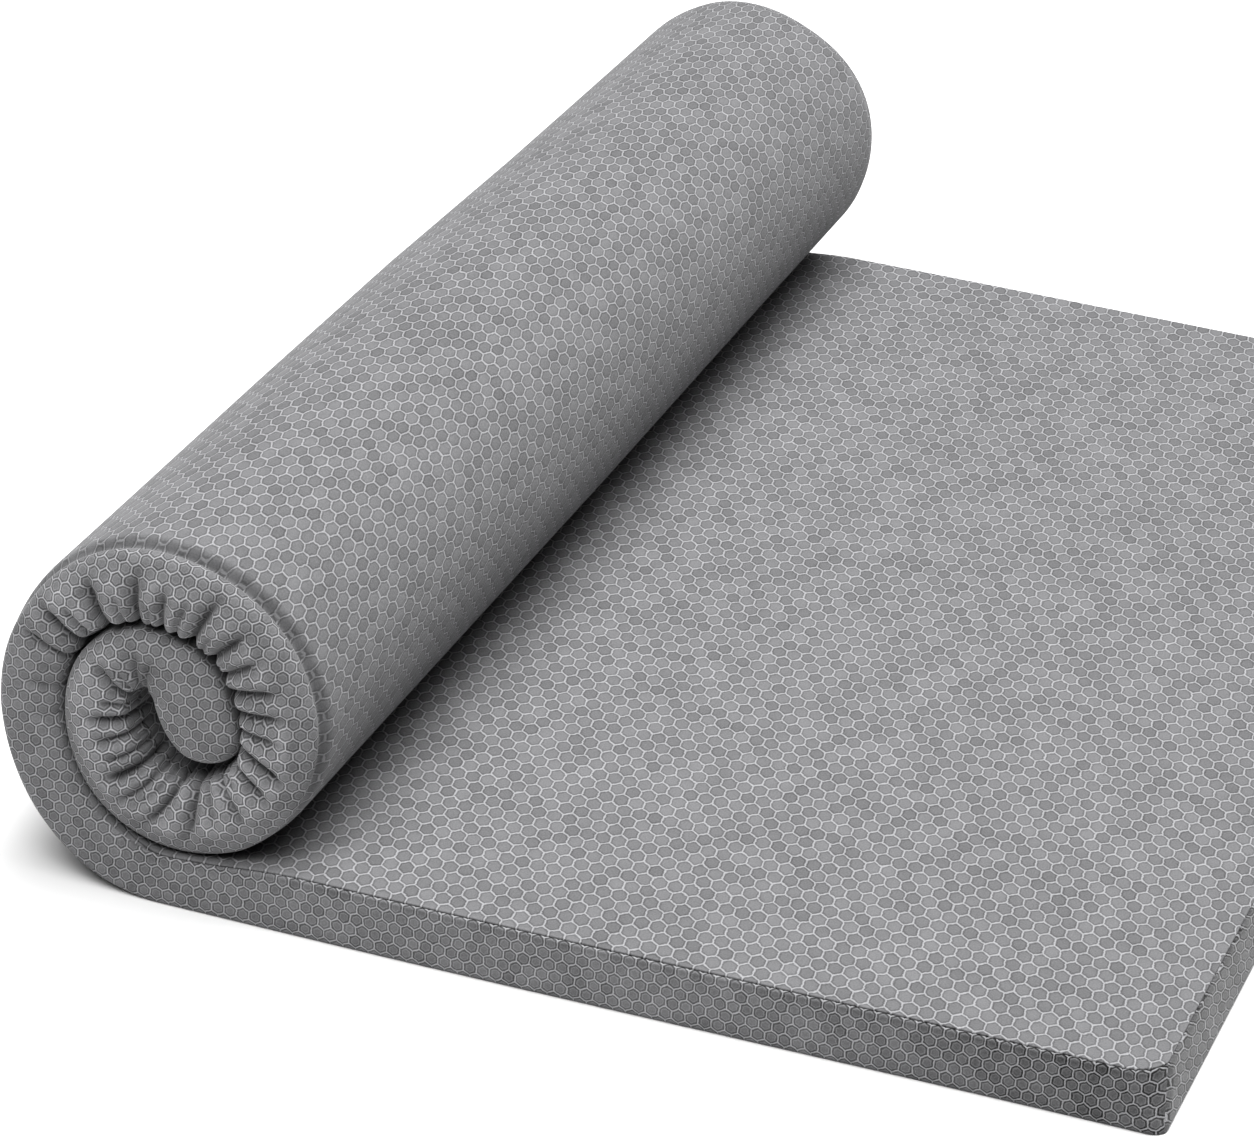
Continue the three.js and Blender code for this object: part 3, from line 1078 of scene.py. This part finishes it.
cloth = bpy.data.materials.new("knitted cover")
cloth.use_nodes = True
tree = cloth.node_tree
tree.nodes.clear()
hexagons = node(tree, "ShaderNodeUVMap", uv_map="hexagons").outputs["UV"]
place = node(tree, "ShaderNodeTexCoord").outputs["Object"]
wobble = noise(tree, place, WOBBLE_SCALE, detail=1.0)["Color"]
wobble = vectors(tree, "MULTIPLY", vectors(tree, "SUBTRACT", wobble, (0.5, 0.5, 0.5)), WOBBLE)
from_rib, cell_centre = hexagon_cells(tree, vectors(tree, "ADD", hexagons, wobble))
rib_ends = {"low": RIB_HALF - RIB_SOFT, "high": RIB_HALF + RIB_SOFT}
rib = between(tree, from_rib, **rib_ends, to_low=1.0, to_high=0.0)
rim = band(tree, from_rib, centre=0.11, half=0.015, soft=0.05)
ring = band(tree, from_rib, centre=0.22, half=0.01, soft=0.04)
pillow = between(tree, from_rib, low=0.06, high=0.3)
print("nodes so far:", len(tree.nodes))

# %% [markdown]
# No two cells catch the light alike, so each gets its own small share of light
# or dark from the place of its centre, snapped to a coarse grid so that the
# whole cell reads the same number. Larger clouds, patches and a fine grain of
# stitches lie over everything.

# %% Chance and grain
CENTRE_GRID = (0.25, 0.25, 1)
GRAIN_SCALE = 700.0
PATCH_SCALE = 70.0
CLOUD_SCALE = 9.0

snapped = vectors(tree, "SNAP", cell_centre, CENTRE_GRID)
chance = node(tree, "ShaderNodeTexWhiteNoise", {"Vector": snapped}).outputs["Value"]
grain = noise(tree, place, GRAIN_SCALE, detail=3.0)["Fac"]
patches = noise(tree, place, PATCH_SCALE, detail=2.0)["Fac"]
clouds = noise(tree, place, CLOUD_SCALE, detail=4.0)["Fac"]
print("nodes so far:", len(tree.nodes))

# %% [markdown]
# The numbers that the mesh carries become masks. The seam is a dark line of
# stitches between two lighter lips, with painted shade just below it. Painted
# shade darkens the folds and dims their ribs, and painted light brightens the
# cloth puffed out between them. Painted shade darkens the band of the sides
# towards the foot end, by up to nearly half.

# %% Seam, folds and side
FOOT_SHADE_FROM = 0.1
FOOT_SHADE_TO = 0.475

seam = carried(tree, "seam")
# Depth in the folds and the crease: it only sets painted shade and painted light.
sunk = carried(tree, "sunk")
side_cloth = carried(tree, "side")
# Painted shade on the band, growing towards the foot end, by up to nearly half.
strip_place = node(tree, "ShaderNodeSeparateXYZ", {"Vector": place}).outputs["X"]
towards_foot_end = between(tree, strip_place, FOOT_SHADE_FROM, FOOT_SHADE_TO)
painted_foot_shade = maths(tree, "MULTIPLY", towards_foot_end, side_cloth)
side_ring, side_rim, side_rib = (
    maths(tree, "MULTIPLY", part, side_cloth) for part in (ring, rim, rib)
)
stitched = band(tree, seam, centre=0.0, half=0.35, soft=0.6)
lip = band(tree, maths(tree, "ABSOLUTE", seam), centre=2.2, half=0.4, soft=1.0)
# Painted shade on the cloth just below the seam.
painted_seam_shade = band(tree, seam, centre=-3.0, half=1.5, soft=5.0)
# Painted shade in the folds: the deeper a point lies, the darker, ribs dimmed too.
painted_fold_shade = between(tree, sunk, low=0.5, high=7.0)
# Painted light on the cloth puffed out between the folds.
swollen = between(tree, sunk, low=-4.0, high=-0.4, to_low=1.0, to_high=0.0)
fold_shaded_rib = maths(tree, "MULTIPLY", rib, painted_fold_shade)
print("nodes so far:", len(tree.nodes))

# %% [markdown]
# The colour is one grey times a shade, which adds up the parts with their
# weights, and times the painted shade of the folds and the painted light on the
# cloth puffed out between them. The relief follows the same distances, so that
# the ribs stay readable where the light grazes the cloth. A cloth has no shine
# but a faint sheen of fibres.

# %% Surface of the cloth
CLOTH = (0.116, 0.116, 0.12)
CLOTH_ROUGHNESS = 0.92
PLAIN_SHADE = 0.2
FOLD_SHADE_PAINTED = 0.5
PUFF_PAINTED_LIGHT = 0.42
RELIEF_HEIGHT = 0.0012

shade = weighted(
    tree,
    PLAIN_SHADE,
    (rib, 1.15),
    (rim, -0.28),
    (side_rib, 0.2),
    (side_rim, -0.14),
    (side_ring, 0.34),
    (chance, 0.28),
    (grain, 0.75),
    (clouds, 0.16),
    (patches, 0.24),
    (stitched, -0.4),
    (lip, 0.1),
    (painted_seam_shade, -0.14),
    (painted_foot_shade, -0.42),
    (fold_shaded_rib, -0.6),
)
fold_light_and_shade = weighted(tree, 1.0, (painted_fold_shade, -FOLD_SHADE_PAINTED), (swollen, PUFF_PAINTED_LIGHT))
colour = vectors(tree, "MULTIPLY", CLOTH, maths(tree, "MULTIPLY", shade, fold_light_and_shade))
relief = weighted(tree, 0.0, (rib, 0.6), (pillow, 0.4), (grain, 0.4), (side_ring, 0.12))
relief_inputs = {"Height": relief, "Strength": 0.55, "Distance": RELIEF_HEIGHT}
bump = node(tree, "ShaderNodeBump", relief_inputs).outputs["Normal"]
surface = node(
    tree,
    "ShaderNodeBsdfPrincipled",
    {
        "Base Color": colour,
        "Roughness": CLOTH_ROUGHNESS,
        "Normal": bump,
        "Specular IOR Level": 0.2,
        "Sheen Weight": 0.12,
        "Sheen Roughness": 0.5,
    },
)
node(tree, "ShaderNodeOutputMaterial", {"Surface": surface.outputs[0]})
mesh.materials.append(cloth)
print("nodes in the cloth:", len(tree.nodes))

# %% [markdown]
# ## Floor and light
#
# The picture was taken over a white floor that runs out of sight. A large plain
# square does that, with paint that is bright enough to go plain white under the
# lamps, as on a photographer's table, and that has no shine.

# %% Floor
FLOOR_HALF = 12
FLOOR_WHITE = 0.62

floor_mesh = bpy.data.meshes.new("floor")
floor_corners = FLOOR_HALF * np.array([(-1, -1, 0), (1, -1, 0), (1, 1, 0), (-1, 1, 0)])
floor_mesh.from_pydata(floor_corners.tolist(), [], [(0, 1, 2, 3)])
floor = bpy.data.objects.new("floor", floor_mesh)
bpy.context.scene.collection.objects.link(floor)
white = bpy.data.materials.new("white floor")
white.use_nodes = True
paint = white.node_tree.nodes["Principled BSDF"].inputs
paint["Base Color"].default_value = (FLOOR_WHITE, FLOOR_WHITE, FLOOR_WHITE, 1)
paint["Roughness"].default_value = 1
paint["Specular IOR Level"].default_value = 0
floor_mesh.materials.append(white)
print("floor, metres:", 2 * FLOOR_HALF, "by", 2 * FLOOR_HALF)

# %% [markdown]
# The light came from above, from a long soft source that lies across the width
# of the mattress. Its shadow beside the roll is short and soft, and the two
# upright sides get a good half of the light of the top. Two soft lamps in the
# sky, one nearly overhead and one higher up on the viewer's side, come closest
# to it. Each one is a power of the cosine of the angle from its direction.

# %% Sky
LAMPS = np.array(
    [
        (56, 75, 20, 18.5),
        (267, 63, 22, 14.6),
    ],
    dtype=[(name, float) for name in ("compass", "height", "focus", "strength")],
)

world = bpy.data.worlds.new("soft sky")
bpy.context.scene.world = world
world.use_nodes = True
sky = world.node_tree
sky.nodes.clear()
looking = node(sky, "ShaderNodeTexCoord").outputs["Generated"]
glow = 0.0
for lamp in LAMPS:
    compass, above = np.radians(lamp["compass"]), np.radians(lamp["height"])
    level = np.cos(above)
    towards = (np.cos(compass) * level, np.sin(compass) * level, np.sin(above))
    facing = maths(sky, "MAXIMUM", vectors(sky, "DOT_PRODUCT", looking, towards), 0.0)
    focused = maths(sky, "POWER", facing, float(lamp["focus"]))
    glow = maths(sky, "MULTIPLY_ADD", focused, float(lamp["strength"]), glow)
light = {"Color": (1.0, 1.0, 1.0, 1.0), "Strength": glow}
background = node(sky, "ShaderNodeBackground", light)
node(sky, "ShaderNodeOutputWorld", {"Surface": background.outputs[0]})
bpy.context.scene.view_settings.view_transform = "Standard"
print("lamps in the sky:", len(LAMPS))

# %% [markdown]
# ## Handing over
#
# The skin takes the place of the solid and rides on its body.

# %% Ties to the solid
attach(cover, "root")
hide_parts("mattress")
